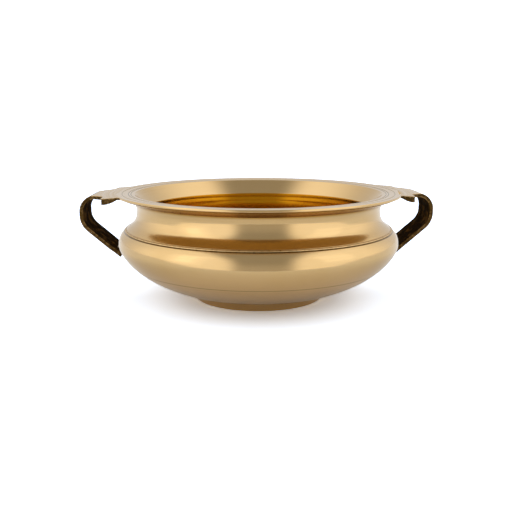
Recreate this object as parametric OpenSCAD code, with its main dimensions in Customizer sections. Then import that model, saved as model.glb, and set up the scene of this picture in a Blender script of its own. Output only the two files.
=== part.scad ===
// Brass urli: a wide, shallow bowl with a full belly, a waisted neck, a stepped flat rim
// and two strap handles that spring from the rim and come back down onto the belly.
// The castings are brazed together, and each braze is a piece of its own.
//
// Millimetres. +Z is up, the bowl's turning axis is the Z axis and the table is z = 0.
// The two handles lie along X. Profiles are lists of [radius, height].

/* [Foot] */
// Radius of the foot ring where it stands on the table
foot_r = 58.5; // [56:0.5:60]
// Radius of the foot ring where it meets the belly
foot_top_r = 63.3; // [62:0.1:66]
// Height of the joint between foot ring and belly, at its outside
foot_h = 7.3; // [6:0.1:8.5]
// Radius of the hollow inside the foot ring
foot_bore_r = 53; // [51:0.5:54]

/* [Belly] */
// Largest radius of the belly
belly_r = 125.6; // [124.5:0.1:127]
// Height of the largest radius
belly_z = 51; // [49:0.5:52]
// Radius of the belly's outer edge at the shoulder seam
seam_r = 120; // [119:0.1:121]
// Height of the shoulder seam
seam_z = 63.5; // [62.5:0.1:64.5]
// Wall thickness of the castings
wall = 3.4; // [3:0.1:4.5]
// Angle at which the belly rises away from the foot
belly_rise = 13.1; // [10:0.1:15]

/* [Neck and rim] */
// Radius of the narrowest part of the neck
waist_r = 109; // [108:0.1:110]
// Height of the narrowest part of the neck
waist_z = 81.7; // [80.5:0.1:82.5]
// Radius of the rim's outer edge
rim_r = 127; // [126:0.1:129]
// Height of the rim's outer edge
rim_z = 96.3; // [95.8:0.1:98]
// Radius of the mouth, where the rim's flat top ends
mouth_r = 109.8; // [108:0.1:111]
// How far the flat top falls from the outer edge to the mouth
rim_fall = 1; // [0.4:0.1:1.5]
// Radius of the throat, the sharp lip at the bottom of the inner cone
throat_r = 100; // [98:0.5:102]
// Height of the throat
throat_z = 82.6; // [81:0.1:84]
// Width of each turned groove in the rim's top
groove_w = 0.9; // [0.5:0.1:1.2]
// Depth of each turned groove in the rim's top
groove_d = 0.5; // [0.2:0.1:0.8]

/* [Handles] */
// Reach of the left handle from the bowl's axis
left_reach = 156.6; // [155:0.1:157.5]
// Reach of the right handle from the bowl's axis
right_reach = 155.6; // [155:0.1:157.5]
// How far each handle is set towards the front of the line through the bowl's axis
handle_skew = 0.3; // [0:0.1:3]
// How far the left handle is twisted about an upright line through its ear
left_twist = 2.4; // [0:0.1:3]
// Width of the handle strap
strap_w = 37; // [32:1:40]
// Thickness of the handle strap
strap_t = 3.4; // [3:0.1:4.5]
// Height of the strap's top where it turns down
strap_z = 95.3; // [94.6:0.1:95.6]
// Outside radius of the strap's upper bend
upper_bend_r = 14.5; // [13:0.5:16]
// Outside radius of the strap's lower bend
lower_bend_r = 18; // [15:0.5:20]
// Slope of the strap's lower leg, from level
leg_slope = 40.7; // [40:0.1:44]
// Height of the leg's lower end
leg_end_z = 40.4; // [39:0.1:41.5]
// Thickness of the ear's thin wings, either side of the strap
wing_t = 2.2; // [1.8:0.1:2.6]
// Thickness of the ear's lobes, from the rim's height down
lobe_t = 5.5; // [4.5:0.1:6]
// Half width of the ear at its two lobes
lobe_y = 45; // [42:0.5:46]
// How far the outer end of the lobes stays inside the handle's reach
lobe_in = 24; // [22:0.5:26]
// Half width of the strap's shoulder, where it leaves the ear
shoulder_y = 31; // [28:0.5:34]

/* [Hidden] */
$fn = 180;

POLISHED = "#D9B77A";
PATINA = "#4A3A22";
FILLER = "#E3C88C";

// Steps along each curve of the bowl's profile, and along each bend of a strap
steps = 18;
bend_steps = 12;

// Outside of the rim: corner above the neck, sloping underside, fine quirk and edge
corner_r = 111;
corner_z = rim_z - 8.2;
quirk_r = 123.4;
quirk_z = rim_z - 3.4;
edge_h = 2;
edge_round = 0.35;
groove_rs = [121.1, 115.6, 113.5];
lip_t = 0.7;

// Register at the shoulder: the neck's spigot drops into a rebate in the belly's edge
spigot_h = 1.8;
spigot_r = seam_r - 3;
// Open line that is left under the shoulder's braze bead
seam_gap = 0.6;
bead_in = 1.1;
bead_up = 1.4;
bead_proud = 0.3;

// Underside of the belly inside the foot ring
floor_r = 50;
floor_z = foot_h - (foot_top_r - floor_r) * tan(belly_rise);
foot_edge = 0.5;
foot_fillet = 2;

// How far the upright line that the left handle is twisted about lies inside its reach
twist_arm = 20;

// Fillets of braze under the ear and around the leg's lower end
ear_fillet_in = 119.5;
ear_fillet_out = 127.5;
ear_braze_a = asin((shoulder_y - 1) / rim_r);
leg_braze_a = asin((strap_w / 2 - 0.5) / belly_r);

// The bowl's outside, as Bezier curves of four control points each
lower_belly = [[foot_top_r, foot_h],
    [foot_top_r + 45.6 * cos(belly_rise), foot_h + 45.6 * sin(belly_rise)],
    [belly_r, belly_z - 8.8], [belly_r, belly_z]];
upper_belly = [[belly_r, belly_z], [belly_r, belly_z + 8],
    [seam_r + 2.5, seam_z - 2.5], [seam_r, seam_z]];
lower_neck = [[seam_r, seam_z], [seam_r - 6.8, seam_z + 6],
    [waist_r, waist_z - 11.1], [waist_r, waist_z]];
upper_neck = [[waist_r, waist_z], [waist_r, waist_z + 2.2],
    [corner_r - 0.7, corner_z - 1.9], [corner_r, corner_z]];

function bez(p, t) = pow(1 - t, 3) * p[0] + 3 * pow(1 - t, 2) * t * p[1]
    + 3 * (1 - t) * t * t * p[2] + pow(t, 3) * p[3];
function bez_dir(p, t) = let (v = pow(1 - t, 2) * (p[1] - p[0])
    + 2 * (1 - t) * t * (p[2] - p[1]) + t * t * (p[3] - p[2])) v / norm(v);
function curve(p) = [for (i = [0:steps]) bez(p, i / steps)];
// The inside of the wall: the same curve moved inwards by the wall's thickness
function inset(p) = [for (i = [0:steps]) let (v = bez_dir(p, i / steps))
    bez(p, i / steps) + wall * [-v[1], v[0]]];
function arc(c, r, a0, a1) = [for (i = [0:bend_steps])
    let (a = a0 + (a1 - a0) * i / bend_steps) c + r * [cos(a), sin(a)]];
function reversed(list) = [for (i = [len(list) - 1:-1:0]) list[i]];
function above(list, z) = [for (p = list) if (p[1] > z) p];
function below(list, z) = [for (p = list) if (p[1] < z) p];
// Radius at which a rising curve passes height z
function r_at(list, z) = let (
    k = [for (i = [0:len(list) - 2]) if (list[i][1] <= z && list[i + 1][1] > z) i][0],
    f = (z - list[k][1]) / (list[k + 1][1] - list[k][1]))
    list[k][0] + f * (list[k + 1][0] - list[k][0]);
// Height of the belly's straight underside, of the rim's top and of the turned ear top
function under_z(r) = floor_z + (r - floor_r) * tan(belly_rise);
function top_z(r) = rim_z - rim_fall * (rim_r - r) / (rim_r - mouth_r);
function ear_z(r, reach) =
    rim_z - (rim_z - strap_z) * (r - rim_r) / (reach - upper_bend_r - rim_r);
function under_rim_z(r) = corner_z + (quirk_z - corner_z) * (r - corner_r) / (quirk_r - corner_r);

// Lists that several sub-parts share, so that their faces meet exactly
neck_inside = inset(lower_neck);
spigot_z = seam_z - spigot_h;
spigot_in = [r_at(neck_inside, spigot_z), spigot_z];
bead_top = [r_at(curve(lower_neck), seam_z + bead_up), seam_z + bead_up];
bead_foot = [seam_r - bead_in, seam_z];
rim_outside = [[corner_r + 0.4, corner_z + 0.5],
    [(corner_r + quirk_r) / 2, (corner_z + quirk_z) / 2 + 0.4],
    [quirk_r, quirk_z], [quirk_r - 0.5, quirk_z + 0.35], [quirk_r + 0.4, quirk_z + 0.5],
    [rim_r - edge_round, rim_z - edge_h], [rim_r, rim_z - edge_h + edge_round],
    [rim_r, rim_z - edge_round], [rim_r - edge_round, top_z(rim_r - edge_round)]];
rim_grooves = [for (r = groove_rs) each [[r + groove_w / 2, top_z(r + groove_w / 2)],
    [r, top_z(r) - groove_d], [r - groove_w / 2, top_z(r - groove_w / 2)]]];

module belly_bowl() {
    color(POLISHED)
        rotate_extrude()
            polygon(concat([[0, floor_z], [floor_r, floor_z]],
                curve(lower_belly), below(curve(upper_belly), seam_z - seam_gap),
                [[seam_r + seam_gap / 2, seam_z - seam_gap], [seam_r - seam_gap, seam_z],
                    [spigot_r, seam_z], [spigot_r, spigot_z], spigot_in],
                reversed(below(inset(upper_belly), spigot_z - 0.3)),
                reversed(above(inset(lower_belly), floor_z + wall + 0.5)),
                [[floor_r, floor_z + wall], [0, floor_z + wall]]));
}

module neck_collar() {
    color(POLISHED)
        rotate_extrude()
            polygon(concat([bead_foot, bead_top],
                above(curve(lower_neck), bead_top[1] + 0.1), curve(upper_neck),
                rim_outside, rim_grooves,
                [[mouth_r + lip_t, top_z(mouth_r + lip_t)], [mouth_r, top_z(mouth_r) - lip_t],
                    [throat_r, throat_z], [throat_r + 0.4, throat_z - 0.8],
                    [throat_r + 4, throat_z - 4]],
                reversed(below(above(neck_inside, spigot_z + 0.2), throat_z - 7)),
                [spigot_in, [spigot_r, spigot_z], [spigot_r, seam_z]]));
}

module foot_ring() {
    color(POLISHED)
        rotate_extrude()
            polygon([[foot_bore_r, foot_edge], [foot_bore_r + foot_edge, 0],
                [foot_r - foot_edge, 0], [foot_r, foot_edge],
                [(foot_r + foot_top_r) / 2 - 0.5, foot_h * 0.55], [foot_top_r, foot_h],
                [foot_bore_r, under_z(foot_bore_r)]]);
}

// Fine bead that fills the V between belly and neck, and stands a little proud
module shoulder_braze() {
    color(FILLER)
        rotate_extrude()
            polygon([bead_foot, [seam_r - 0.1, seam_z], [seam_r + 0.1, seam_z + bead_proud],
                (bead_foot + bead_top) / 2 + [bead_in - 0.1, bead_proud], bead_top]);
}

// Fillet of braze in the corner inside the foot ring
module foot_braze() {
    in_r = foot_bore_r - foot_fillet;
    color(FILLER)
        rotate_extrude()
            polygon([[foot_bore_r, under_z(foot_bore_r) - foot_fillet],
                [foot_bore_r, under_z(foot_bore_r)], [in_r, under_z(in_r)],
                [foot_bore_r - foot_fillet * 0.3, under_z(in_r) - foot_fillet * 0.3]]);
}

// Everything inside and above the bowl's outside, for fitting the handles against it
module bowl_envelope() {
    rotate_extrude()
        polygon(concat([[0, floor_z]], [[floor_r, floor_z]], curve(lower_belly),
            curve(upper_belly), curve(lower_neck), curve(upper_neck), rim_outside,
            [[rim_r - edge_round, rim_z + 2], [0, rim_z + 2]]));
}

// Side view of the handle, [x, z]: ear, upper bend, lower bend and leg
module strap_side(reach) {
    upper_c = [reach - upper_bend_r, strap_z - upper_bend_r];
    lean = leg_slope - 90;
    lower_c = [reach - lower_bend_r, upper_c[1] - (lower_bend_r - upper_bend_r)];
    down = [-cos(leg_slope), -sin(leg_slope)];
    inward = [-sin(leg_slope), cos(leg_slope)];
    out_end = lower_c + lower_bend_r * [cos(lean), sin(lean)];
    foot = out_end + down * (out_end[1] - leg_end_z) / sin(leg_slope);
    polygon(concat([[mouth_r, rim_z]], [[upper_c[0], rim_z]],
        arc(upper_c, upper_bend_r, 90, 0), arc(lower_c, lower_bend_r, 0, lean),
        [foot, foot + strap_t * inward],
        reversed(arc(lower_c, lower_bend_r - strap_t, 0, lean)),
        reversed(arc(upper_c, upper_bend_r - strap_t, 90, 0)),
        [[rim_r - 4, rim_z - strap_t], [mouth_r, rim_z - strap_t]]));
}

// Side view of the ear's wings, [x, z]: thin at the rim, thick at the lobe
module wing_side(reach) {
    lobe_x = reach - lobe_in;
    polygon([[mouth_r, rim_z + 1], [lobe_x, rim_z + 1], [lobe_x, rim_z - lobe_t],
        [lobe_x - 4, rim_z - lobe_t + 0.1], [lobe_x - 8, rim_z - lobe_t + 1.2],
        [lobe_x - 12, rim_z - wing_t], [mouth_r, rim_z - wing_t]]);
}

module wing(reach) {
    translate([0, 1 - shoulder_y, 0])
        rotate([90, 0, 0])
            linear_extrude(lobe_y + 3 - shoulder_y)
                wing_side(reach);
}

// Half of the ear seen from above: root on the rim, notch, lobe, end face and shoulder
module ear_half_plan(reach) {
    lobe_x = reach - lobe_in;
    root_y = lobe_y + 2;
    root_x = sqrt(rim_r * rim_r - root_y * root_y);
    bend_x = reach - upper_bend_r;
    polygon(concat([[mouth_r, 0], [mouth_r, root_y], [root_x, root_y],
        [root_x + 2, lobe_y - 1.5], [root_x + 4.5, lobe_y], [lobe_x - 2, lobe_y],
        [lobe_x, lobe_y - 2], [lobe_x, shoulder_y]],
        [for (i = [1:bend_steps]) let (t = i / bend_steps)
            [lobe_x + t * (bend_x + 7 - lobe_x),
                strap_w / 2 + (shoulder_y - strap_w / 2) * pow(1 - t, 1.6)]],
        [[bend_x + 7, 0]]));
}

// A handle as it was cast, pointing along +X: its side view cut to its plan
module rough_casting(reach) {
    intersection() {
        union() {
            rotate([90, 0, 0])
                linear_extrude(2 * shoulder_y, center = true)
                    strap_side(reach);
            wing(reach);
            mirror([0, 1, 0])
                wing(reach);
        }
        union() {
            translate([0, 0, rim_z - 12])
                linear_extrude(20) {
                    ear_half_plan(reach);
                    mirror([0, 1, 0])
                        ear_half_plan(reach);
                }
            translate([mouth_r, -strap_w / 2, 0])
                cube([reach, strap_w, rim_z + 1]);
        }
    }
}

// The casting as it was set: twisted a little, turned flush with the rim on top and fitted
// to the bowl
module handle_casting(reach, twist) {
    difference() {
        intersection() {
            translate([reach - twist_arm, 0, 0])
                rotate([0, 0, twist])
                    translate([twist_arm - reach, 0, 0])
                        rough_casting(reach);
            rotate_extrude()
                polygon([[0, 0], [reach + 10, 0], [reach + 10, ear_z(reach + 10, reach)],
                    [rim_r, rim_z], [mouth_r, top_z(mouth_r)], [0, top_z(mouth_r)]]);
        }
        bowl_envelope();
    }
}

// Places on the bowl for what is drawn pointing along +X
module at_left() {
    rotate([0, 0, handle_skew])
        mirror([1, 0, 0])
            children();
}

module at_right() {
    rotate([0, 0, -handle_skew])
        children();
}

module left_handle() {
    color(PATINA)
        at_left()
            handle_casting(left_reach, left_twist);
}

module right_handle() {
    color(PATINA)
        at_right()
            handle_casting(right_reach, 0);
}

// Fillet of braze under the ear, against the rim's stepped outside
module ear_fillet(reach, twist) {
    difference() {
        rotate([0, 0, -ear_braze_a])
            rotate_extrude(angle = 2 * ear_braze_a)
                polygon([[ear_fillet_in - 1, under_rim_z(ear_fillet_in) + 0.2],
                    [(ear_fillet_in + ear_fillet_out) / 2, rim_z - strap_t - 1],
                    [ear_fillet_out, rim_z - strap_t], [ear_fillet_in - 1, rim_z - strap_t]]);
        bowl_envelope();
        handle_casting(reach, twist);
    }
}

module left_ear_braze() {
    color(FILLER)
        at_left()
            ear_fillet(left_reach, left_twist);
}

module right_ear_braze() {
    color(FILLER)
        at_right()
            ear_fillet(right_reach, 0);
}

// Fillets of braze above and below the leg, where it lands on the belly
module leg_fillets(reach, twist) {
    difference() {
        rotate([0, 0, -leg_braze_a])
            rotate_extrude(angle = 2 * leg_braze_a) {
                polygon([[belly_r - 8, leg_end_z - 2.4], [belly_r - 5.5, leg_end_z - 1.6],
                    [belly_r - 3.2, leg_end_z + 0.6], [belly_r - 6, leg_end_z + 3.4]]);
                polygon([[belly_r - 2, belly_z - 5], [belly_r + 1.2, belly_z - 2.4],
                    [belly_r + 0.1, belly_z - 0.8], [belly_r - 2, belly_z - 0.8]]);
            }
        bowl_envelope();
        handle_casting(reach, twist);
    }
}

module left_leg_braze() {
    color(FILLER)
        at_left()
            leg_fillets(left_reach, left_twist);
}

module right_leg_braze() {
    color(FILLER)
        at_right()
            leg_fillets(right_reach, 0);
}

belly_bowl();
neck_collar();
foot_ring();
left_handle();
right_handle();
shoulder_braze();
foot_braze();
left_ear_braze();
right_ear_braze();
left_leg_braze();
right_leg_braze();
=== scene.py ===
"""The looks of the brass urli bowl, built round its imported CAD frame.

+Z is up, the bowl's turning axis is x = y = 0 and the two handles lie along X. Shapes are
worked out in millimetres, as in the CAD source, and the mesh builders write metres.
"""

import math

import bmesh
import bpy
from mathutils import Matrix, Vector, noise


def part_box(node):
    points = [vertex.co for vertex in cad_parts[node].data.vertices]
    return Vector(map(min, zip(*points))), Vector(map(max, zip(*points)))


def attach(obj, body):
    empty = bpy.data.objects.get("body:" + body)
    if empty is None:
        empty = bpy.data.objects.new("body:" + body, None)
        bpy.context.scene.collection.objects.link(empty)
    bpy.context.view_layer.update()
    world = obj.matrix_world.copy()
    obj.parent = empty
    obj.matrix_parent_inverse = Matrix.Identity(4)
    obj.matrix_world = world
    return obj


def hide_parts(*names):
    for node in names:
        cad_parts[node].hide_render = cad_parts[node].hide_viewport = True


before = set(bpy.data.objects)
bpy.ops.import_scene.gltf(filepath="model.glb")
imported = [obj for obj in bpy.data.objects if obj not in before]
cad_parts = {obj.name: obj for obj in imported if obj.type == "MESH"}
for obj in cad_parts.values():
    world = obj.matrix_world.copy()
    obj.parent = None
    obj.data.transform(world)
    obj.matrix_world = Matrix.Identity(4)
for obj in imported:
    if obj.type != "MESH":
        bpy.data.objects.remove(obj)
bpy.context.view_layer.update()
MM = 0.001


def box_mm(node):
    """(lowest corner, highest corner) of a CAD node, in millimetres."""
    return tuple(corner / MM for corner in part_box(node))


# ---------------------------------------------------------------- sizes, in millimetres

belly_lo, belly_hi = box_mm("belly_bowl")
neck_lo, neck_hi = box_mm("neck_collar")
_, foot_hi = box_mm("foot_ring")

# Foot
FOOT_TOP_R, FOOT_H = foot_hi.x, foot_hi.z
FOOT_FLARE, FOOT_WIDTH = 4.8, 10.3
FOOT_R = FOOT_TOP_R - FOOT_FLARE
FOOT_BORE_R = FOOT_TOP_R - FOOT_WIDTH
FOOT_EDGE = 0.5
FOOT_FILLET = 2.0

# Belly
BELLY_R = belly_hi.x
BELLY_Z = 51.0
SEAM_INSET = 5.6
SEAM_R = BELLY_R - SEAM_INSET
SEAM_Z = belly_hi.z
WALL = 3.4
BELLY_RISE = math.radians(13.1)
FLOOR_R = 50.0
FLOOR_Z = belly_lo.z

# Neck and rim
WAIST_R, WAIST_Z = 109.0, 81.7
RIM_R, RIM_Z = neck_hi.x, neck_hi.z
MOUTH_R = 109.8
RIM_FALL = 1.0
THROAT_R, THROAT_Z = 100.0, 82.6
CORNER_R, CORNER_Z = 111.0, RIM_Z - 8.2
QUIRK_R, QUIRK_Z = 123.4, RIM_Z - 3.4
EDGE_H = 2.0
EDGE_ROUND = 0.35
GROOVE_RS = (121.1, 115.6, 113.5)
GROOVE_W, GROOVE_D = 0.9, 0.5
LIP_T = 0.7

# Shoulder register and its bead
SPIGOT_Z = neck_lo.z
SPIGOT_R = SEAM_R - 3.0
SEAM_GAP = 0.6
BEAD_IN, BEAD_UP, BEAD_PROUD = 1.1, 1.4, 0.3

# Handles
HANDLE_SKEW = math.radians(0.3)
LEFT_TWIST = math.radians(2.4)
TWIST_ARM = 20.0
STRAP_W, STRAP_T, STRAP_Z = 37.0, 3.4, 95.3
UPPER_BEND_R, LOWER_BEND_R = 14.5, 18.0
LEG_SLOPE = math.radians(40.7)
LEG_END_Z = 40.4
WING_T, LOBE_T = 2.2, 5.5
LOBE_Y, LOBE_IN, SHOULDER_Y = 45.0, 24.0, 31.0

# How finely the meshes are made, and how far sharp turned corners are rounded
AROUND = 256
CURVE_STEPS = 48
ARC_STEPS = 18
SOFT_CORNER = 0.22
ON_AXIS = 1e-6


# ------------------------------------------------------------------- outlines, [r, z]


def bezier(p, t):
    """The point at t of a cubic Bezier curve with the four control points p."""
    k = ((1 - t) ** 3, 3 * (1 - t) ** 2 * t, 3 * (1 - t) * t * t, t**3)
    return Vector([sum(a * q[axis] for a, q in zip(k, p)) for axis in (0, 1)])


def slope(p, t):
    """The unit direction of travel of that curve at t."""
    k = ((1 - t) ** 2, 2 * (1 - t) * t, t * t)
    pairs = [(Vector(p[i + 1]) - Vector(p[i])) for i in range(3)]
    return sum((a * v for a, v in zip(k, pairs)), Vector((0, 0))).normalized()


def curve(p, inwards=0.0):
    """Points along the curve, moved towards the bowl's inside by that much."""
    points = []
    for i in range(CURVE_STEPS + 1):
        t = i / CURVE_STEPS
        d = slope(p, t)
        points.append(bezier(p, t) + inwards * Vector((-d.y, d.x)))
    return points


def above(points, z):
    return [p for p in points if p.y > z]


def below(points, z):
    return [p for p in points if p.y < z]


def at_z(points, z):
    """Radius at which a rising list of points passes height z."""
    for a, b in zip(points, points[1:]):
        if a.y <= z < b.y:
            return a.x + (b.x - a.x) * (z - a.y) / (b.y - a.y)
    return points[-1].x


def top_z(r):
    """Height of the rim's turned top, which falls a little towards the mouth."""
    return RIM_Z - RIM_FALL * (RIM_R - r) / (RIM_R - MOUTH_R)


def under_z(r):
    """Height of the belly's straight underside."""
    return FLOOR_Z + (r - FLOOR_R) * math.tan(BELLY_RISE)


FIRST_ARM = 45.6
lower_belly = [
    (FOOT_TOP_R, FOOT_H),
    (FOOT_TOP_R + FIRST_ARM * math.cos(BELLY_RISE), FOOT_H + FIRST_ARM * math.sin(BELLY_RISE)),
    (BELLY_R, BELLY_Z - 8.8),
    (BELLY_R, BELLY_Z),
]
upper_belly = [
    (BELLY_R, BELLY_Z),
    (BELLY_R, BELLY_Z + 8),
    (SEAM_R + 2.5, SEAM_Z - 2.5),
    (SEAM_R, SEAM_Z),
]
lower_neck = [
    (SEAM_R, SEAM_Z),
    (SEAM_R - 6.8, SEAM_Z + 6),
    (WAIST_R, WAIST_Z - 11.1),
    (WAIST_R, WAIST_Z),
]
upper_neck = [
    (WAIST_R, WAIST_Z),
    (WAIST_R, WAIST_Z + 2.2),
    (CORNER_R - 0.7, CORNER_Z - 1.9),
    (CORNER_R, CORNER_Z),
]
belly_outside = curve(lower_belly) + curve(upper_belly)[1:]
neck_outside = curve(lower_neck) + curve(upper_neck)[1:]
neck_inside = curve(lower_neck, WALL)
spigot_in = Vector((at_z(neck_inside, SPIGOT_Z), SPIGOT_Z))
bead_top = Vector((at_z(neck_outside, SEAM_Z + BEAD_UP), SEAM_Z + BEAD_UP))
bead_foot = Vector((SEAM_R - BEAD_IN, SEAM_Z))


def v_groove(points, here, width, depth):
    """The outline with a fine V-shaped turned groove cut into it at the point nearest here."""
    k = min(range(1, len(points) - 1), key=lambda i: (points[i] - here).length)
    along = (points[k + 1] - points[k - 1]).normalized()
    inward = Vector((-along.y, along.x))
    cut = [
        points[k] - along * width,
        points[k] - along * width / 2,
        points[k] + inward * depth,
        points[k] + along * width / 2,
        points[k] + along * width,
    ]
    before = [p for p in points[:k] if (p - points[k]).length > 1.5 * width]
    after = [p for p in points[k + 1 :] if (p - points[k]).length > 1.5 * width]
    return before + cut + after


SHARP = math.radians(14)
SUPPORT = 1.6


def softened(outline, radius):
    """The outline with every sharp corner rounded, and a support point on each side of it."""
    n, out = len(outline), []
    for i, p in enumerate(outline):
        a, b = outline[i - 1], outline[(i + 1) % n]
        u, v = a - p, b - p
        turn = math.pi - u.angle(v) if u.length and v.length else 0
        if turn < SHARP or p.x < ON_AXIS:
            out.append(p)
            continue
        ru, rv = min(radius, u.length * 0.3), min(radius, v.length * 0.3)
        u.normalize()
        v.normalize()
        start, end = p + u * ru, p + v * rv
        middle = start * 0.25 + p * 0.5 + end * 0.25
        out += [p + u * ru * SUPPORT, start, middle, end, p + v * rv * SUPPORT]
    return out


# ------------------------------------------------------------------------ mesh making


def new_piece(name, bm, replaced):
    """A piece on the one body that stands for a CAD node."""
    bmesh.ops.recalc_face_normals(bm, faces=bm.faces)
    mesh = bpy.data.meshes.new(name)
    bm.to_mesh(mesh)
    bm.free()
    mesh.shade_smooth()
    piece = bpy.data.objects.new(name, mesh)
    bpy.context.scene.collection.objects.link(piece)
    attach(piece, "root")
    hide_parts(replaced)
    return piece


def skin(bm, rows):
    """Faces between each closed row of points and the next, and a cap on each end."""
    n = len(rows[0])
    for a, b in zip(rows, rows[1:]):
        for k in range(n):
            m = (k + 1) % n
            bm.faces.new((a[k], a[m], b[m], b[k]))
    bm.faces.new(rows[0])
    bm.faces.new(rows[-1][::-1])


def turned(name, outline, replaced, inside=None, wobble=0.0):
    """A closed [r, z] outline in millimetres, rounded at its corners and spun about the axis.

    The point attribute along holds the distance along the outline, for the turning lines.
    The point attribute inside is 1 where inside(p) says that the surface is the vessel's
    inside. wobble makes a hand-run bead uneven by that much.
    """
    outline = softened(outline, SOFT_CORNER)
    bm = bmesh.new()
    along_layer = bm.verts.layers.float.new("along")
    inside_layer = bm.verts.layers.float.new("inside")
    rings, distance, last = [], 0.0, outline[0]
    for p in outline:
        distance += (p - last).length
        last = p
        ring = []
        for k in range(1 if p.x < ON_AXIS else AROUND):
            a = 2 * math.pi * k / AROUND
            uneven = wobble * noise.noise(Vector((math.cos(a) * 40, math.sin(a) * 40, p.y)))
            r = p.x - abs(uneven)
            v = bm.verts.new((r * math.cos(a) * MM, r * math.sin(a) * MM, p.y * MM))
            v[along_layer] = distance
            v[inside_layer] = 1.0 if inside and inside(p) else 0.0
            ring.append(v)
        rings.append(ring)
    for a, b in zip(rings, rings[1:] + rings[:1]):
        if len(a) == 1 and len(b) == 1:
            continue
        for k in range(AROUND):
            n = (k + 1) % AROUND
            corners = [a[k % len(a)], a[n % len(a)], b[n % len(b)], b[k % len(b)]]
            bm.faces.new(list(dict.fromkeys(corners)))
    return new_piece(name, bm, replaced)


# ------------------------------------------------------------------- the turned pieces

# A fine line scribed round the lower belly
SCRIBED_Z, SCRIBED_W, SCRIBED_D = 31.8, 0.5, 0.22
scribed = Vector((at_z(belly_outside, SCRIBED_Z), SCRIBED_Z))
outer_wall = v_groove(belly_outside, scribed, SCRIBED_W, SCRIBED_D)
belly_inside = curve(lower_belly, WALL) + curve(upper_belly, WALL)[1:]
belly_outline = (
    [Vector((0, FLOOR_Z)), Vector((FLOOR_R * 0.5, FLOOR_Z)), Vector((FLOOR_R, FLOOR_Z))]
    + below(outer_wall, SEAM_Z - SEAM_GAP)
    + [
        Vector((SEAM_R + SEAM_GAP / 2, SEAM_Z - SEAM_GAP)),
        Vector((SEAM_R - SEAM_GAP, SEAM_Z)),
        Vector((SPIGOT_R, SEAM_Z)),
        Vector((SPIGOT_R, SPIGOT_Z)),
        spigot_in,
    ]
    + below(above(belly_inside, FLOOR_Z + WALL + 0.5), SPIGOT_Z - 0.3)[::-1]
    + [
        Vector((FLOOR_R, FLOOR_Z + WALL)),
        Vector((FLOOR_R * 0.5, FLOOR_Z + WALL)),
        Vector((0, FLOOR_Z + WALL)),
    ]
)


def in_belly(p):
    """True on the belly's inside surface."""
    low = belly_inside[0].y + 0.01
    return p.y >= FLOOR_Z + WALL - 0.01 and p.x <= at_z(belly_inside, max(p.y, low)) + 0.3


belly = turned("belly", belly_outline, "belly_bowl", in_belly)

rim_outside = [
    Vector((CORNER_R + 0.4, CORNER_Z + 0.5)),
    Vector(((CORNER_R + QUIRK_R) / 2, (CORNER_Z + QUIRK_Z) / 2 + 0.4)),
    Vector((QUIRK_R, QUIRK_Z)),
    Vector((QUIRK_R - 0.5, QUIRK_Z + 0.35)),
    Vector((QUIRK_R + 0.4, QUIRK_Z + 0.5)),
    Vector((RIM_R - EDGE_ROUND, RIM_Z - EDGE_H)),
    Vector((RIM_R, RIM_Z - EDGE_H + EDGE_ROUND)),
    Vector((RIM_R, RIM_Z - EDGE_ROUND)),
    Vector((RIM_R - EDGE_ROUND, top_z(RIM_R - EDGE_ROUND))),
]
rim_top = []
for groove_r in GROOVE_RS:
    outer, inner = groove_r + GROOVE_W / 2, groove_r - GROOVE_W / 2
    rim_top += [
        Vector((outer, top_z(outer))),
        Vector((groove_r, top_z(groove_r) - GROOVE_D)),
        Vector((inner, top_z(inner))),
    ]
neck_outline = (
    [bead_foot, bead_top]
    + above(neck_outside, bead_top.y + 0.1)
    + rim_outside
    + rim_top
    + [
        Vector((MOUTH_R + LIP_T, top_z(MOUTH_R + LIP_T))),
        Vector((MOUTH_R, top_z(MOUTH_R) - LIP_T)),
        Vector((THROAT_R, THROAT_Z)),
        Vector((THROAT_R + 0.4, THROAT_Z - 0.8)),
        Vector((THROAT_R + 4, THROAT_Z - 4)),
    ]
    + below(above(neck_inside, SPIGOT_Z + 0.2), THROAT_Z - 7)[::-1]
    + [spigot_in, Vector((SPIGOT_R, SPIGOT_Z)), Vector((SPIGOT_R, SEAM_Z))]
)


def under_throat(p):
    """True on the neck's inside, below the throat."""
    return p.y <= THROAT_Z - 0.5 and p.x <= at_z(neck_inside, p.y) + 0.3


neck = turned("neck", neck_outline, "neck_collar", under_throat)

foot_outline = [
    Vector((FOOT_BORE_R, FOOT_EDGE)),
    Vector((FOOT_BORE_R + FOOT_EDGE, 0)),
    Vector((FOOT_R - FOOT_EDGE, 0)),
    Vector((FOOT_R, FOOT_EDGE)),
    Vector(((FOOT_R + FOOT_TOP_R) / 2 - 0.5, FOOT_H * 0.55)),
    Vector((FOOT_TOP_R, FOOT_H)),
    Vector((FOOT_BORE_R, under_z(FOOT_BORE_R))),
]
foot = turned("foot", foot_outline, "foot_ring")

seam_bead_outline = [
    bead_foot,
    Vector((SEAM_R - 0.1, SEAM_Z)),
    Vector((SEAM_R + 0.1, SEAM_Z + BEAD_PROUD)),
    (bead_foot + bead_top) / 2 + Vector((BEAD_IN - 0.1, BEAD_PROUD)),
    bead_top,
]
seam_bead = turned(
    "shoulder_bead", seam_bead_outline, "shoulder_braze", wobble=0.25
)

fillet_in = FOOT_BORE_R - FOOT_FILLET
foot_bead_outline = [
    Vector((FOOT_BORE_R + 0.05, under_z(FOOT_BORE_R) - FOOT_FILLET)),
    Vector((FOOT_BORE_R + 0.05, under_z(FOOT_BORE_R))),
    Vector((fillet_in, under_z(fillet_in))),
    Vector((FOOT_BORE_R - FOOT_FILLET * 0.3, under_z(fillet_in) - FOOT_FILLET * 0.3)),
]
foot_bead = turned("foot_bead", foot_bead_outline, "foot_braze", wobble=0.35)


# ------------------------------------------------------------------------- the handles


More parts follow.
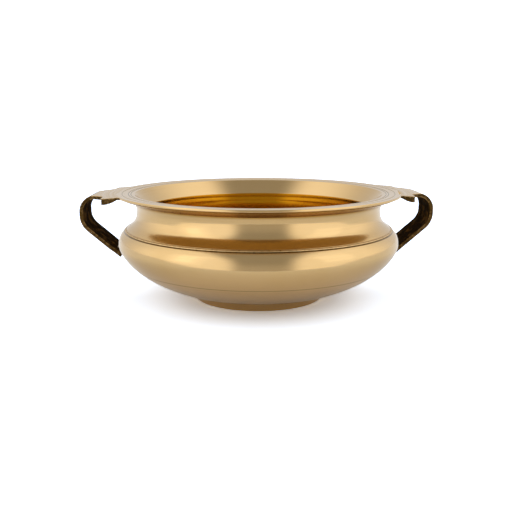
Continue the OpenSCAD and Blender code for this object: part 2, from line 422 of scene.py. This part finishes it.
def reach_of(node, twist):
    """How far the handle reaches from the bowl's axis along its own centre line."""
    lo, hi = box_mm(node)
    turned_by = abs(twist - HANDLE_SKEW)
    corner = TWIST_ARM * math.cos(turned_by) + STRAP_W / 2 * math.sin(turned_by)
    return (max(-lo.x, hi.x) - corner) / math.cos(HANDLE_SKEW) + TWIST_ARM


AT_RIGHT = Matrix.Rotation(-HANDLE_SKEW, 3, "Z")
AT_LEFT = Matrix.Rotation(HANDLE_SKEW, 3, "Z") @ Matrix.Diagonal((-1, 1, 1))


def smoothstep(x, lo, hi):
    t = min(max((x - lo) / (hi - lo), 0.0), 1.0)
    return t * t * (3 - 2 * t)


def lerp(a, b, t):
    return a + (b - a) * t


def interpolate(pairs, x):
    """Straight lines between (x, y) pairs."""
    for (xa, ya), (xb, yb) in zip(pairs, pairs[1:]):
        if x <= xb:
            return lerp(ya, yb, max(x - xa, 0.0) / (xb - xa))
    return pairs[-1][1]


# Half width of the ear towards the front and towards the back of the bowl. The first number
# is how far out it is, from 0 on the rim's edge to 1 at the end of the lobes.
LOBE_WIDTHS = [(0.86, LOBE_Y), (0.96, LOBE_Y - 0.7), (1.0, LOBE_Y - 2.0)]
EAR_WIDTHS = [
    (0.0, LOBE_Y + 2.0),
    (0.1, LOBE_Y - 0.8),
    (0.2, LOBE_Y - 1.3),
    (0.32, LOBE_Y),
] + LOBE_WIDTHS
EAR_WIDTHS_BACK = [(0.0, LOBE_Y + 2.0), (0.15, LOBE_Y + 1.0), (0.4, LOBE_Y + 0.3)] + LOBE_WIDTHS
# Rows of points along the ear, closer together where its outline turns
EAR_ROWS = [0, 0.04, 0.08, 0.13, 0.18, 0.24, 0.3, 0.36, 0.43, 0.5]
EAR_ROWS += [0.57, 0.64, 0.71, 0.78, 0.84, 0.9, 0.95, 0.98, 1]
LOBE_FACE_ROWS = 6
ACROSS = 60
CORNER_STEPS = 4
SIDE_STEPS = 5
FLAT_STEPS = 10
UPPER_BEND_STEPS = 26
LEG_ROWS = 36
# Radii of the corners of a section: at its turned top, and as cast below
TOP_ROUND, CAST_ROUND = 0.4, 0.6
# How far the ear's root is let into the rim, and the leg's end into the belly's wall
IN_RIM, IN_BELLY = 0.4, 1.3
# Width of the blend between the strap's thickness and a wing's, by its distance past SHOULDER_Y
BLEND_FROM, BLEND_TO = -2.5, -0.5
# Wear of each part of a section, from 0 in the middle of a face to 1 on a sharp edge
SIDE_WEAR, LOW_CORNER_WEAR, UNDER_WEAR = 0.55, 0.8, 0.35
# How far the wing thickens behind the lobe's end: (distance, thickness)
WING_STEPS = [(0, LOBE_T), (4, LOBE_T - 0.1), (8, LOBE_T - 1.2), (12, WING_T), (99, WING_T)]


class Handle:
    """The strap handle in its own plane, pointing along +X: where each row of points lies."""

    def __init__(self, reach):
        self.reach = reach
        self.lobe_x = reach - LOBE_IN
        self.bend_x = reach - UPPER_BEND_R
        self.narrow_x = self.bend_x + 7
        self.upper_c = Vector((self.bend_x, STRAP_Z - UPPER_BEND_R))
        self.lower_c = Vector((reach - LOWER_BEND_R, self.upper_c.y - LOWER_BEND_R + UPPER_BEND_R))

    def ear_z(self, r):
        """Height of the ear's turned top."""
        if r < RIM_R:
            return top_z(r)
        return RIM_Z - (RIM_Z - STRAP_Z) * (r - RIM_R) / (self.bend_x - RIM_R)

    def half_width(self, x):
        """Half width between the lobes and the plain strap."""
        t = min(max((x - self.lobe_x) / (self.narrow_x - self.lobe_x), 0.0), 1.0)
        return STRAP_W / 2 + (SHOULDER_Y - STRAP_W / 2) * (1 - t) ** 1.6

    def past_strap(self, y):
        """0 under the strap, easing to 1 under the wings on either side of it."""
        return smoothstep(abs(y), SHOULDER_Y + BLEND_FROM, SHOULDER_Y + BLEND_TO)

    def thickness(self, x, y):
        """Thin wings that grow into the lobes, either side of the strap."""
        return lerp(STRAP_T, interpolate(WING_STEPS, self.lobe_x - x), self.past_strap(y))

    def section(self, half, thick, back_half=None):
        """(y, depth, edge) round the strap: top, side, underside, side. edge is 1 on corners.

        back_half is the half width on the side of the bowl's back, where it differs.
        """
        points = []
        wide = half - TOP_ROUND
        for k in range(ACROSS + 1):
            y = lerp(-wide, wide, k / ACROSS)
            points.append((y, 0.0, 1 - smoothstep(wide - abs(y), 0, 1.2)))
        t = thick(half)
        for k in range(1, CORNER_STEPS + 1):
            a = math.pi / 2 * k / CORNER_STEPS
            points.append((wide + TOP_ROUND * math.sin(a), TOP_ROUND * (1 - math.cos(a)), 1.0))
        for k in range(1, SIDE_STEPS):
            d = lerp(TOP_ROUND, t - CAST_ROUND, k / SIDE_STEPS)
            points.append((half, d, SIDE_WEAR))
        for k in range(CORNER_STEPS):
            a = math.pi / 2 * k / CORNER_STEPS
            d = t - CAST_ROUND + CAST_ROUND * math.sin(a)
            points.append((half - CAST_ROUND * (1 - math.cos(a)), d, LOW_CORNER_WEAR))
        under = half - CAST_ROUND
        for k in range(ACROSS // 2 + 1):
            y = lerp(under, 0, k / (ACROSS // 2))
            wear = UNDER_WEAR * (1 - smoothstep(under - abs(y), 0, 1.5))
            points.append((y, thick(y), wear))
        other_side = [(-y, d, e) for y, d, e in points[ACROSS + 1 : -1]]
        points += other_side[::-1]
        if back_half is None:
            return points
        return [(y * (back_half if y > 0 else half) / half, d, e) for y, d, e in points]

    def rows(self):
        """Each row is a list of (x, y, z, edge), from inside the rim to inside the belly."""
        rows = []
        for f in EAR_ROWS:
            row = []
            for y, d, e in self.section(
                interpolate(EAR_WIDTHS, f),
                lambda v, f=f: self.thickness(self.ear_x(f, v), v),
                interpolate(EAR_WIDTHS_BACK, f),
            ):
                x = self.ear_x(f, y)
                if f == 0:
                    x -= min(d, 2.0) * 1.5
                row.append((x, y, self.ear_z(math.hypot(x, y)) - d, e))
            rows.append(row)
        for k in range(1, LOBE_FACE_ROWS + 1):
            f = k / LOBE_FACE_ROWS
            half = lerp(EAR_WIDTHS[-1][1], SHOULDER_Y, f)
            x = self.lobe_x + 0.06 * k

            def thick(v, f=f):
                lobe = lerp(LOBE_T, STRAP_T, smoothstep(f, 0.5, 1))
                return lerp(STRAP_T, lobe, self.past_strap(v))

            section = self.section(half, thick)
            rows.append([(x, y, self.ear_z(math.hypot(x, y)) - d, e) for y, d, e in section])
        for place, normal in self.path():
            half = self.half_width(place.x if place.y > self.upper_c.y else self.narrow_x)
            row = []
            for y, d, e in self.section(half, lambda v: STRAP_T):
                x, z = place.x - normal.x * d, place.y - normal.y * d
                if place.x <= self.bend_x:
                    round_top = self.ear_z(math.hypot(place.x, y)) - place.y
                    z += round_top * (1 - smoothstep(place.x, self.lobe_x, self.bend_x))
                row.append((x, y, z, e))
            rows.append(row)
        return rows + self.leg_rows(rows[-1])

    def ear_x(self, f, y):
        """Across the ear: f is 0 on the rim's round edge and 1 on the lobes' straight end."""
        root = math.sqrt((RIM_R - IN_RIM) ** 2 - y * y)
        return lerp(root, self.lobe_x, f)

    def path(self):
        """(place, normal) along the strap's outer face, from the lobes to the leg."""
        steps = []
        for k in range(1, FLAT_STEPS):
            x = lerp(self.lobe_x + 0.5, self.bend_x, k / FLAT_STEPS)
            steps.append((Vector((x, self.ear_z(x))), Vector((0, 1))))
        for k in range(UPPER_BEND_STEPS + 1):
            a = math.pi / 2 * (1 - k / UPPER_BEND_STEPS)
            n = Vector((math.cos(a), math.sin(a)))
            steps.append((self.upper_c + UPPER_BEND_R * n, n))
        for k in range(ARC_STEPS + 1):
            a = (LEG_SLOPE - math.pi / 2) * k / ARC_STEPS
            n = Vector((math.cos(a), math.sin(a)))
            steps.append((self.lower_c + LOWER_BEND_R * n, n))
        return steps

    def twisted(self, rows, twist):
        """The rows turned about an upright line through the ear, which stays on the rim."""
        pivot = self.reach - TWIST_ARM
        made = []
        for row in rows:
            line = []
            for x, y, z, e in row:
                root = math.sqrt(max(RIM_R * RIM_R - y * y, 0.0))
                a = twist * smoothstep(x, root, self.lobe_x)
                px = pivot + (x - pivot) * math.cos(a) - y * math.sin(a)
                py = (x - pivot) * math.sin(a) + y * math.cos(a)
                if z > self.upper_c.y and x <= self.bend_x:
                    z += self.ear_z(math.hypot(px, py)) - self.ear_z(math.hypot(x, y))
                line.append((px, py, z, e))
            made.append(line)
        return made

    def leg_rows(self, start):
        """The straight leg: each line of points runs on until it is inside the belly's wall."""
        down = Vector((-math.cos(LEG_SLOPE), -math.sin(LEG_SLOPE)))
        top = self.lower_c + LOWER_BEND_R * Vector((math.sin(LEG_SLOPE), -math.cos(LEG_SLOPE)))
        whole = (top.y - LEG_END_Z) / math.sin(LEG_SLOPE)
        lengths = []
        for x, y, z, _ in start:
            lo, hi = 0.0, whole
            for _ in range(24):
                mid = (lo + hi) / 2
                px, pz = x + down.x * mid, z + down.y * mid
                if math.hypot(px, y) > at_z(belly_outside, pz) - IN_BELLY:
                    lo = mid
                else:
                    hi = mid
            lengths.append(hi)
        rows = []
        for k in range(1, LEG_ROWS + 1):
            row = []
            for (x, y, z, e), n in zip(start, lengths):
                row.append((x + down.x * n * k / LEG_ROWS, y, z + down.y * n * k / LEG_ROWS, e))
            rows.append(row)
        return rows


# Depth to which the top is turned clean, and depth of the pits in the cast skin below it
TURNED_DEPTH, PIT_DEPTH = 0.3, 0.24


def cast_noise(p):
    """Unevenness of a sand casting's skin, 0 to 1."""
    coarse = noise.noise(p * 0.28)
    fine = noise.noise(p * 0.9 + Vector((7, 3, 1)))
    grit = noise.noise(p * 2.3 + Vector((1, 9, 4)))
    return 0.5 + 0.3 * coarse + 0.28 * fine + 0.16 * grit


def handle(name, node, turn, twist):
    """Builds one handle. below_top holds how far each point lies under the turned top."""
    shape = Handle(reach_of(node, twist))
    rows = shape.twisted(shape.rows(), twist)
    bm = bmesh.new()
    below_layer = bm.verts.layers.float.new("below_top")
    edge_layer = bm.verts.layers.float.new("edge")
    along_layer = bm.verts.layers.float.new("along")
    grid = []
    for row in rows:
        line = []
        for x, y, z, e in row:
            r = math.hypot(x, y)
            v = bm.verts.new((x, y, z))
            v[below_layer] = shape.ear_z(r) - z
            v[edge_layer] = e
            v[along_layer] = r
            line.append(v)
        grid.append(line)
    skin(bm, grid)
    bmesh.ops.recalc_face_normals(bm, faces=bm.faces)
    # The casting's corners are worn soft, except where its top is turned flat
    cast = []
    for v in bm.verts:
        if v[below_layer] > TURNED_DEPTH and math.hypot(v.co.x, v.co.y) > RIM_R + 0.3:
            cast.append(v)
    for _ in range(2):
        bmesh.ops.smooth_vert(
            bm, verts=cast, factor=0.35, use_axis_x=True, use_axis_y=True, use_axis_z=True
        )
    bm.normal_update()
    for v in cast:
        depth = PIT_DEPTH * smoothstep(v[below_layer], TURNED_DEPTH, 1.2)
        v.co -= v.normal * depth * cast_noise(v.co)
    for v in bm.verts:
        v.co = turn @ v.co * MM
    return new_piece(name, bm, node)


left_strap = handle("left_strap", "left_handle", AT_LEFT, LEFT_TWIST)
right_strap = handle("right_strap", "right_handle", AT_RIGHT, 0.0)


# ------------------------------------------------------------------- the braze fillets


FILLET_STEPS = 72
FILLET_CORNER = 0.5


def fillet(name, node, turn, outlines, half_angle, seed):
    """Runs of braze round part of the bowl, uneven and drawn out to nothing at their ends."""
    bm = bmesh.new()
    for number, outline in enumerate(outlines):
        outline = softened(outline, FILLET_CORNER)
        heart = sum(outline, Vector((0, 0))) / len(outline)
        root = outline[0]
        rings = []
        for k in range(FILLET_STEPS + 1):
            t = 2 * k / FILLET_STEPS - 1
            a = half_angle * t
            size = math.sqrt(max(1 - abs(t) ** 6, 0.0)) * 0.96 + 0.04
            ring = []
            for p in outline:
                q = root + (p - root) * size
                bump = noise.noise(Vector((a * 60, q.x * 0.5, q.y * 0.5 + seed + 9 * number)))
                q = q + (heart - q) * 0.14 * (0.5 + 0.5 * bump)
                ring.append(bm.verts.new((q.x * math.cos(a), q.x * math.sin(a), q.y)))
            rings.append(ring)
        skin(bm, rings)
    for v in bm.verts:
        v.co = turn @ v.co * MM
    return new_piece(name, bm, node)


def under_rim_z(r):
    """Height of the rim's sloping underside."""
    return CORNER_Z + (QUIRK_Z - CORNER_Z) * (r - CORNER_R) / (QUIRK_R - CORNER_R)


EAR_FILLET_IN, EAR_FILLET_OUT = 119.5, 127.5
ear_run = [
    Vector((EAR_FILLET_IN - 1, RIM_Z - STRAP_T)),
    Vector((EAR_FILLET_IN - 1, under_rim_z(EAR_FILLET_IN) + 0.2)),
    Vector(((EAR_FILLET_IN + EAR_FILLET_OUT) / 2, RIM_Z - STRAP_T - 1)),
    Vector((EAR_FILLET_OUT, RIM_Z - STRAP_T)),
]
leg_low_run = [
    Vector((BELLY_R - 6, LEG_END_Z + 3.4)),
    Vector((BELLY_R - 8, LEG_END_Z - 2.4)),
    Vector((BELLY_R - 5.5, LEG_END_Z - 1.6)),
    Vector((BELLY_R - 3.2, LEG_END_Z + 0.6)),
]
leg_high_run = [
    Vector((BELLY_R - 2, BELLY_Z - 0.8)),
    Vector((BELLY_R - 2, BELLY_Z - 5)),
    Vector((BELLY_R + 1.2, BELLY_Z - 2.4)),
    Vector((BELLY_R + 0.1, BELLY_Z - 0.8)),
]
EAR_HALF = math.asin((SHOULDER_Y - 1) / RIM_R)
LEG_HALF = math.asin((STRAP_W / 2 - 0.5) / BELLY_R)
leg_runs = [leg_low_run, leg_high_run]
fillets = [
    fillet("left_ear_fillet", "left_ear_braze", AT_LEFT, [ear_run], EAR_HALF, 1),
    fillet("right_ear_fillet", "right_ear_braze", AT_RIGHT, [ear_run], EAR_HALF, 2),
    fillet("left_leg_fillet", "left_leg_braze", AT_LEFT, leg_runs, LEG_HALF, 3),
    fillet("right_leg_fillet", "right_leg_braze", AT_RIGHT, leg_runs, LEG_HALF, 4),
]


# --------------------------------------------------------------------------- materials


class Look:
    """The node tree of a material or a world, with short calls for the nodes that it needs."""

    def __init__(self, owner, shader="Principled BSDF"):
        owner.use_nodes = True
        self.owner = owner
        self.nodes = owner.node_tree.nodes
        self.links = owner.node_tree.links
        self.shader = self.nodes[shader]

    def node(self, kind, **settings):
        made = self.nodes.new(kind)
        for key, value in settings.items():
            setattr(made, key, value)
        return made

    def put(self, socket, value):
        if isinstance(value, bpy.types.NodeSocket):
            self.links.new(value, socket)
        elif value is not None:
            socket.default_value = value

    def math(self, operation, a, b=None, c=None):
        made = self.node("ShaderNodeMath", operation=operation)
        for socket, value in zip(made.inputs, (a, b, c)):
            self.put(socket, value)
        return made.outputs[0]

    def ramp(self, value, lo, hi, to_lo=0.0, to_hi=1.0):
        """value eased from to_lo at lo to to_hi at hi."""
        made = self.node("ShaderNodeMapRange", interpolation_type="SMOOTHSTEP")
        for socket, v in zip(made.inputs, (value, lo, hi, to_lo, to_hi)):
            self.put(socket, v)
        return made.outputs[0]

    def mix(self, share, a, b):
        made = self.node("ShaderNodeMix", data_type="RGBA")
        self.put(made.inputs[0], share)
        self.put(made.inputs[6], a)
        self.put(made.inputs[7], b)
        return made.outputs[2]

    def attribute(self, name):
        return self.node("ShaderNodeAttribute", attribute_name=name).outputs["Fac"]

    def place(self):
        """Position on the object, in millimetres."""
        made = self.node("ShaderNodeVectorMath", operation="SCALE")
        self.put(made.inputs[0], self.node("ShaderNodeTexCoord").outputs["Object"])
        made.inputs["Scale"].default_value = 1 / MM
        return made.outputs[0]

    def noise(self, vector, scale, detail=3.0, roughness=0.5):
        made = self.node("ShaderNodeTexNoise")
        self.put(made.inputs["Vector"], vector)
        self.put(made.inputs["Scale"], scale)
        self.put(made.inputs["Detail"], detail)
        self.put(made.inputs["Roughness"], roughness)
        return made.outputs["Fac"]

    def bump(self, height, distance, strength=1.0, normal=None):
        made = self.node("ShaderNodeBump")
        self.put(made.inputs["Height"], height)
        self.put(made.inputs["Distance"], distance)
        self.put(made.inputs["Strength"], strength)
        self.put(made.inputs["Normal"], normal)
        return made.outputs["Normal"]

    def brushed(self, amount):
        """Stretches reflections across the turning lines, as fine rings of scratches do."""
        tangent = self.node("ShaderNodeTangent", direction_type="RADIAL", axis="Z")
        self.put(self.shader.inputs["Tangent"], tangent.outputs[0])
        self.shader.inputs["Anisotropic"].default_value = amount
        self.shader.inputs["Anisotropic Rotation"].default_value = 0.25

    def darkened_lines(self, inside):
        """Share of darkening along the seam, the belly's scribed line and the rim's grooves."""
        radius, height = self.radius_and_height()
        total = self.line(height, SEAM_Z - SEAM_GAP / 2, 0.6, 0.7)
        total = self.math("MAXIMUM", total, self.line(height, SCRIBED_Z, 0.5, 0.5))
        total = self.math("MULTIPLY", total, self.math("SUBTRACT", 1.0, inside))
        on_top = self.ramp(height, RIM_Z - 2.5, RIM_Z - 1.8)
        for groove_r, share in zip(GROOVE_RS, (0.5, 0.8, 0.8)):
            ring = self.math("MULTIPLY", self.line(radius, groove_r, 0.5, share), on_top)
            total = self.math("MAXIMUM", total, ring)
        return total

    def radius_and_height(self):
        """Distance from the bowl's axis and height above the table, in millimetres."""
        parts = self.node("ShaderNodeSeparateXYZ")
        self.put(parts.inputs[0], self.place())
        across = self.math("MULTIPLY", parts.outputs[0], parts.outputs[0])
        squared = self.math("MULTIPLY_ADD", parts.outputs[1], parts.outputs[1], across)
        return self.math("SQRT", squared), parts.outputs[2]

    def line(self, value, centre, half, share):
        """share where value is at centre, easing to 0 at half to either side of it."""
        away = self.math("ABSOLUTE", self.math("SUBTRACT", value, centre))
        return self.ramp(away, half * 0.4, half, share, 0.0)

    def lathe_lines(self, along):
        """Coordinates whose noise runs in rings round the bowl's axis."""
        parts = self.node("ShaderNodeSeparateXYZ")
        self.put(parts.inputs[0], self.node("ShaderNodeTexCoord").outputs["Object"])
        angle = self.math("ARCTAN2", parts.outputs[1], parts.outputs[0])
        rings = self.node("ShaderNodeCombineXYZ")
        self.put(rings.inputs[0], along)
        self.put(rings.inputs[1], self.math("MULTIPLY", self.math("COSINE", angle), 1.5))
        self.put(rings.inputs[2], self.math("MULTIPLY", self.math("SINE", angle), 1.5))
        return rings.outputs[0]


def new_look(name):
    return Look(bpy.data.materials.new(name))


BRASS = (0.63, 0.432, 0.205, 1)
BRASS_WARM = (0.57, 0.37, 0.145, 1)
TARNISH = (0.42, 0.25, 0.09, 1)
# Colour of the darker lines along the shoulder seam, the scribed line and the rim's grooves
LINE_DARKENING = (0.07, 0.034, 0.003, 1)
# Painted reflection: the vessel's inside is painted a deeper gold for the light it bounces round
# within, and deeper still in its streaks
INSIDE_REFLECTION_GOLD = (0.82, 0.54, 0.10, 1)
INSIDE_REFLECTION_DEEP = (0.44, 0.25, 0.035, 1)
# Painted reflection of the belly's shoulder on the neck just above the shoulder seam, and painted
# shade under the rim
NECK_PAINTED_REFLECTION = (0.46, 0.25, 0.035, 1)
RIM_PAINTED_SHADE = (0.30, 0.145, 0.004, 1)
# The rough castings, from their hollows to their worn edges
PATINA_DARK = (0.020, 0.011, 0.003, 1)
PATINA_BROWN = (0.11, 0.060, 0.016, 1)
WORN_EDGE = (0.42, 0.26, 0.10, 1)

# Noise scales, per millimetre, of the turning lines and of the castings' skin
STREAKS, SCRATCHES, FINE_LINES = 0.45, 1.7, 6.0
CLOUDS, SPOTS, LUMPS, PITS, BLOTCHES = 0.02, 0.55, 0.5, 0.35, 0.12
# Depths of bump, in metres
FINE_DEPTH, STREAK_DEPTH, LUMP_DEPTH, PIT_BUMP = 0.000006, 0.00002, 0.0003, 0.0005


def with_painted_shade_and_reflection(look, colour):
    """The colour with a painted reflection of the belly just above the shoulder seam and painted
    shade under the rim.
    """
    radius, height = look.radius_and_height()
    above_seam = look.ramp(height, SEAM_Z - 0.3, SEAM_Z + 0.3)
    # Painted reflection: a darker gold band on the neck just above the seam, where the neck
    # mirrors the belly's shoulder
    reflected_band = look.math("MULTIPLY", look.ramp(height, SEAM_Z + 4, SEAM_Z + 9, 0.15, 0), above_seam)
    colour = look.mix(reflected_band, colour, NECK_PAINTED_REFLECTION)
    # Painted shade: darker under the rim's overhang and on the neck's top corner below it
    under = look.ramp(height, CORNER_Z - 3, CORNER_Z)
    under = look.math("MULTIPLY", under, look.ramp(radius, CORNER_R - 1, CORNER_R))
    under = look.math("MULTIPLY", under, look.ramp(height, RIM_Z - 2.6, RIM_Z - 1.8, 0.72, 0))
    return look.mix(under, colour, RIM_PAINTED_SHADE)


def polished_brass(name):
    """Turned and polished brass, with rings of fine scratches, its inside painted gold as a
    painted reflection, a painted reflection above the shoulder seam and painted shade under the
    rim.
    """
    look = new_look(name)
    rings = look.lathe_lines(look.attribute("along"))
    streaks = look.noise(rings, STREAKS, 4, 0.6)
    scratches = look.noise(rings, SCRATCHES, 3, 0.65)
    fine = look.noise(rings, FINE_LINES, 3, 0.6)
    clouds = look.noise(look.place(), CLOUDS, 4, 0.55)
    colour = look.mix(look.ramp(clouds, 0.45, 0.75, 0, 0.35), BRASS, BRASS_WARM)
    colour = look.mix(look.ramp(streaks, 0.55, 0.8, 0, 0.25), colour, BRASS_WARM)
    colour = look.mix(look.ramp(scratches, 0.5, 0.75, 0, 0.3), colour, BRASS_WARM)
    # Adds the painted reflection above the seam and the painted shade under the rim
    colour = with_painted_shade_and_reflection(look, colour)
    inside = look.attribute("inside")
    # Painted reflection: the inside is painted a deeper, streaked gold for the light bounced round
    # within the vessel
    inside_reflection = look.mix(look.ramp(streaks, 0.45, 0.7, 0, 0.7), INSIDE_REFLECTION_GOLD, INSIDE_REFLECTION_DEEP)
    colour = look.mix(inside, colour, inside_reflection)
    # Darker lines along the shoulder seam, the scribed line and the rim's grooves
    colour = look.mix(look.darkened_lines(inside), colour, LINE_DARKENING)
    spots = look.ramp(look.noise(look.place(), SPOTS, 2, 0.5), 0.74, 0.8, 0, 0.6)
    look.put(look.shader.inputs["Base Color"], look.mix(spots, colour, TARNISH))
    look.shader.inputs["Metallic"].default_value = 1.0
    rough = look.ramp(streaks, 0.3, 0.7, 0.05, 0.09)
    rough = look.math("ADD", rough, look.ramp(scratches, 0.3, 0.7, 0.06, 0.11))
    look.put(look.shader.inputs["Roughness"], rough)
    look.brushed(0.5)
    normal = look.bump(fine, FINE_DEPTH)
    normal = look.bump(streaks, STREAK_DEPTH, 1.0, normal)
    look.put(look.shader.inputs["Normal"], normal)
    return look.owner


def braze(name, dark):
    """Lumpy braze. dark is the least share of it that has browned."""
    look = new_look(name)
    lumps = look.noise(look.place(), LUMPS, 4, 0.6)
    share = look.ramp(lumps, 0.4, 0.7, dark, min(dark + 0.4, 1.0))
    look.put(look.shader.inputs["Base Color"], look.mix(share, BRASS, PATINA_BROWN))
    look.shader.inputs["Metallic"].default_value = 1.0
    look.put(look.shader.inputs["Roughness"], look.ramp(lumps, 0.3, 0.7, 0.25, 0.5))
    look.put(look.shader.inputs["Normal"], look.bump(lumps, LUMP_DEPTH))
    return look.owner


def cast_patina(name):
    """Rough dark casting, with its top turned bright and its edges worn to brass."""
    look = new_look(name)
    place = look.place()
    pits = look.noise(place, PITS, 5, 0.62)
    blotches = look.noise(place, BLOTCHES, 4, 0.6)
    edge = look.attribute("edge")
    rings = look.lathe_lines(look.attribute("along"))
    streaks = look.noise(rings, STREAKS, 4, 0.6)
    fine = look.noise(rings, FINE_LINES, 3, 0.6)
    dark = look.mix(look.ramp(blotches, 0.45, 0.7), PATINA_DARK, PATINA_BROWN)
    wear = look.math("MULTIPLY", edge, look.ramp(pits, 0.35, 0.6))
    dark = look.mix(look.math("MULTIPLY", edge, 0.75), dark, PATINA_BROWN)
    dark = look.mix(look.ramp(wear, 0.3, 1.0, 0, 0.8), dark, WORN_EDGE)
    bright = look.mix(look.ramp(streaks, 0.55, 0.8, 0, 0.25), BRASS, BRASS_WARM)
    # The border between the turned top and the cast skin is ragged by the skin's pits
    depth = look.math("ADD", look.attribute("below_top"), look.math("MULTIPLY", pits, 0.25))
    cast = look.ramp(depth, 0.25, 0.5)
    look.put(look.shader.inputs["Base Color"], look.mix(cast, bright, dark))
    look.shader.inputs["Specular IOR Level"].default_value = 0.0
    metal = look.ramp(wear, 0.2, 0.9, 0.05, 0.9)
    look.put(look.shader.inputs["Metallic"], look.ramp(cast, 0, 1, 1.0, metal))
    cast_rough = look.ramp(pits, 0.3, 0.7, 0.5, 0.75)
    turned_rough = look.ramp(streaks, 0.3, 0.7, 0.16, 0.26)
    look.put(look.shader.inputs["Roughness"], look.ramp(cast, 0, 1, turned_rough, cast_rough))
    lines = look.bump(fine, FINE_DEPTH)
    grain = look.math("MULTIPLY", pits, cast)
    look.put(look.shader.inputs["Normal"], look.bump(grain, PIT_BUMP, 1.0, lines))
    return look.owner


def finish_with(piece, material):
    piece.data.materials.clear()
    piece.data.materials.append(material)


polished = polished_brass("polished_brass_turned")
patina = cast_patina("patina_casting")
bright_braze = braze("braze_bright", 0.0)
dark_braze = braze("braze_dark", 0.55)
for piece in (belly, neck, foot):
    finish_with(piece, polished)
for piece in (left_strap, right_strap):
    finish_with(piece, patina)
for piece in (seam_bead, foot_bead):
    finish_with(piece, bright_braze)
for piece in fillets:
    finish_with(piece, dark_braze)
# The brass around them does not mirror the dark handles
for piece in (left_strap, right_strap, *fillets):
    piece.visible_glossy = False


# ---------------------------------------------------------------- floor, light, camera

# The table ends in front of the bowl, so the lower belly mirrors the dim aisle, not the table
TABLE_FRONT, TABLE_FAR = 0.24, 4.0
# The floor's tone as it lights the bowl, and as the camera sees it
FLOOR_TONE = (0.93, 0.955, 0.985, 1)
FLOOR_SEEN = (1.6, 1.8, 2.12, 1)
floor_mesh = bpy.data.meshes.new("floor")
corners = [
    (-TABLE_FAR, -TABLE_FRONT, 0),
    (TABLE_FAR, -TABLE_FRONT, 0),
    (TABLE_FAR, TABLE_FAR, 0),
    (-TABLE_FAR, TABLE_FAR, 0),
]
floor_mesh.from_pydata(corners, [], [(0, 1, 2, 3)])
floor = bpy.data.objects.new("floor", floor_mesh)
bpy.context.scene.collection.objects.link(floor)
floor_look = new_look("floor_white")
floor_seen = floor_look.node("ShaderNodeLightPath").outputs["Is Camera Ray"]
tone = floor_look.mix(floor_seen, FLOOR_TONE, FLOOR_SEEN)
floor_look.put(floor_look.shader.inputs["Base Color"], tone)
floor_look.shader.inputs["Roughness"].default_value = 0.9
floor_look.shader.inputs["Specular IOR Level"].default_value = 0.0
finish_with(floor, floor_look.owner)

# Softboxes, in metres and watts. The left one is three boxes, so that its edge is soft.
BOX_TARGET = (0, 0, 0.06)
LEFT_BOX, LEFT_WIDTHS, LEFT_POWER = (-1.35, -0.72, 0.6), (0.4, 0.65, 0.95), 0.54
RIGHT_BOX, RIGHT_WIDTH, RIGHT_POWER = (1.3, -0.75, 0.7), 0.8, 0.6


def softbox(name, place, width, height, power):
    """A rectangular studio light that faces the bowl."""
    light = bpy.data.lights.new(name, "AREA")
    light.shape = "RECTANGLE"
    light.size, light.size_y = width, height
    light.energy = power
    made = bpy.data.objects.new(name, light)
    made.location = place
    facing = Vector(BOX_TARGET) - Vector(place)
    made.rotation_euler = facing.to_track_quat("-Z", "Y").to_euler()
    bpy.context.scene.collection.objects.link(made)


for number, width in enumerate(LEFT_WIDTHS):
    softbox(f"softbox_left_{number}", LEFT_BOX, width, 0.6 + width, LEFT_POWER)
softbox("softbox_right", RIGHT_BOX, RIGHT_WIDTH, 1.2, RIGHT_POWER)

# White walls all round, brighter to the front, with a dimmer aisle in front and overhead
WALL_FRONT, WALL_BACK, AISLE, AISLE_LOW, BACKDROP = 1.42, 0.78, 0.45, 0.6, 1.2
world = bpy.data.worlds.new("studio")
bpy.context.scene.world = world
studio = Look(world, "Background")
direction = studio.node("ShaderNodeSeparateXYZ")
studio.put(direction.inputs[0], studio.node("ShaderNodeTexCoord").outputs["Generated"])
sideways = studio.math("ABSOLUTE", direction.outputs[0])
aisle = studio.math("SUBTRACT", 1.0, studio.ramp(sideways, 0.22, 0.58))
aisle = studio.math("MULTIPLY", aisle, studio.ramp(direction.outputs[1], -0.1, 0.45, 1.0, 0.0))
walls = studio.ramp(direction.outputs[1], 0.05, 0.97, WALL_FRONT, WALL_BACK)
gap = studio.ramp(direction.outputs[2], -0.2, 0.4, AISLE_LOW, AISLE)
strength = studio.ramp(aisle, 0.0, 1.0, walls, gap)
backdrop_seen = studio.node("ShaderNodeLightPath").outputs["Is Camera Ray"]
strength = studio.ramp(backdrop_seen, 0.0, 1.0, strength, BACKDROP)
studio.put(studio.shader.inputs["Strength"], strength)
studio.shader.inputs["Color"].default_value = (1, 1, 1, 1)

# The camera looks down a little, from a bearing just off the line square to the handles
BEARING, PITCH = math.radians(3.4), math.radians(11.7)
CAMERA_PLACE = Vector((-0.0022, -0.6324, 0.1670))
LENS, SENSOR = 49.35, 36
camera_data = bpy.data.cameras.new("camera")
camera_data.lens = LENS
camera_data.sensor_width = SENSOR
camera = bpy.data.objects.new("camera", camera_data)
camera.location = Matrix.Rotation(-BEARING, 3, "Z") @ CAMERA_PLACE
camera.rotation_euler = (math.pi / 2 - PITCH, 0, -BEARING)
bpy.context.scene.collection.objects.link(camera)
bpy.context.scene.camera = camera
bpy.context.scene.view_settings.view_transform = "Standard"
